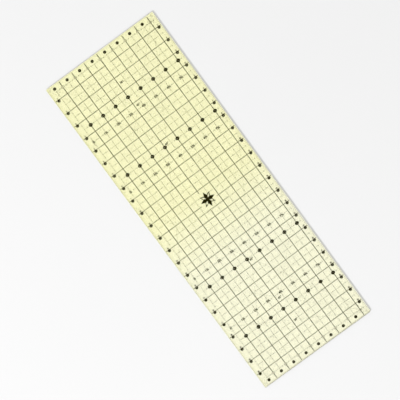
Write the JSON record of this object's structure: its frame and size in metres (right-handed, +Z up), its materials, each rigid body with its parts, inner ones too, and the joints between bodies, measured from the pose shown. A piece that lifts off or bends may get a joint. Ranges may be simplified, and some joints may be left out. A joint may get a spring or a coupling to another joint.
{
  "type": "quilting ruler",
  "caption": "Clear acrylic quilting ruler: a long flat plate with an inch grid, half-inch marks, number dots and angle guides printed on its underside over a non-slip film.",
  "frame": {"origin": "centre of the ruler's underside, on the surface it lies on", "axes": "+X across the width, +Y along the length towards the first end of the scale, +Z up out of the printed face's top side"},
  "size_m": [0.216, 0.6096, 0.0033],
  "materials": {
    "acrylic": "gloss",
    "nonslip_film": "matte",
    "black_ink": "satin"
  },
  "bodies": {
    "root": {"acrylic_plate": "acrylic", "nonslip_film": "nonslip_film", "inch_grid_ink": "black_ink", "half_inch_grid_ink": "black_ink", "angle_guide_ink": "black_ink", "emblem_ink": "black_ink", "first_end_dot_1": "black_ink", "first_end_dot_2": "black_ink", "first_end_dot_3": "black_ink", "first_end_dot_4": "black_ink", "first_end_dot_5": "black_ink", "first_end_dot_6": "black_ink", "first_end_dot_7": "black_ink", "first_end_dot_8": "black_ink", "far_end_dot_1": "black_ink", "far_end_dot_2": "black_ink", "far_end_dot_3": "black_ink", "far_end_dot_4": "black_ink", "far_end_dot_5": "black_ink", "far_end_dot_6": "black_ink", "far_end_dot_7": "black_ink", "far_end_dot_8": "black_ink"}
  },
  "joints": []
}
